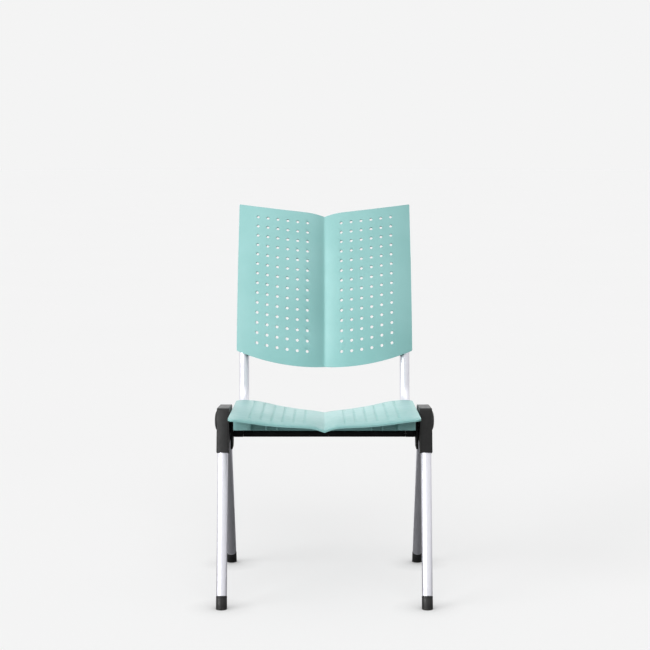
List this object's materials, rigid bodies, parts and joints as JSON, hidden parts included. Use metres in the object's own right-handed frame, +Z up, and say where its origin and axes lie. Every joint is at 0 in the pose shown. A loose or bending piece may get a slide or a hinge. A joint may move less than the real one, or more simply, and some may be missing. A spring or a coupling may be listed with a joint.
{
  "type": "conference chair",
  "caption": "Armless conference chair: perforated, lobed seat and back shells on bent tubes, tilting on a rod between inverted-V leg frames.",
  "frame": {"origin": "middle of the chair's footprint box, on the floor", "axes": "+Z up, the sitter faces -Y, +X to the sitter's left hand; left and right in names are as seen from the front"},
  "size_m": [0.5336, 0.629, 0.9335],
  "materials": {
    "silver_coat": "fine satin silver powder coat on steel tube",
    "black_coat": "semi-matt black powder coat on steel",
    "black_plastic": "finely textured black moulding",
    "black_rubber": "matt black rubber",
    "teal_plastic": "pale teal polypropylene with a fine satin grain",
    "zinc_steel": "zinc plated steel"
  },
  "bodies": {
    "base": {"left_leg_frame": "silver_coat", "right_leg_frame": "silver_coat", "left_front_foot": "black_plastic", "right_front_foot": "black_plastic", "left_rear_foot": "black_plastic", "right_rear_foot": "black_plastic", "left_housing_shell": "black_plastic", "right_housing_shell": "black_plastic", "left_housing_cover": "black_plastic", "right_housing_cover": "black_plastic", "left_side_cap": "black_plastic", "right_side_cap": "black_plastic", "left_bracket": "black_coat", "right_bracket": "black_coat", "left_rod_nut": "zinc_steel", "right_rod_nut": "zinc_steel", "left_stop_bumper": "black_rubber", "right_stop_bumper": "black_rubber", "left_front_housing_screw": "zinc_steel", "right_front_housing_screw": "zinc_steel", "left_rear_housing_screw": "zinc_steel", "right_rear_housing_screw": "zinc_steel", "left_bush_sleeve": "zinc_steel", "right_bush_sleeve": "zinc_steel", "pivot_rod": "zinc_steel", "crossbar": "black_coat"},
    "seat_unit": {"left_side_tube": "silver_coat", "right_side_tube": "silver_coat", "left_pivot_lug": "black_coat", "right_pivot_lug": "black_coat", "left_rubber_bush": "black_rubber", "right_rubber_bush": "black_rubber", "left_rail_cap": "black_plastic", "right_rail_cap": "black_plastic", "left_upright_cap": "black_plastic", "right_upright_cap": "black_plastic", "left_lower_clip": "black_plastic", "right_lower_clip": "black_plastic", "left_upper_clip": "black_plastic", "right_upper_clip": "black_plastic", "left_front_seat_screw": "zinc_steel", "right_front_seat_screw": "zinc_steel", "left_rear_seat_screw": "zinc_steel", "right_rear_seat_screw": "zinc_steel", "left_lower_back_screw": "zinc_steel", "right_lower_back_screw": "zinc_steel", "left_upper_back_screw": "zinc_steel", "right_upper_back_screw": "zinc_steel", "seat_shell": "teal_plastic", "back_shell": "teal_plastic"}
  },
  "joints": [
    {"name": "tilt", "type": "hinge", "parent": "base", "child": "seat_unit", "pos_m": [0, -0.13431, 0.3941], "axis": [-1, 0, 0], "range_deg": [0, 10], "stiffness_Nm_per_rad": 250, "springref_deg": -8.59}
  ]
}
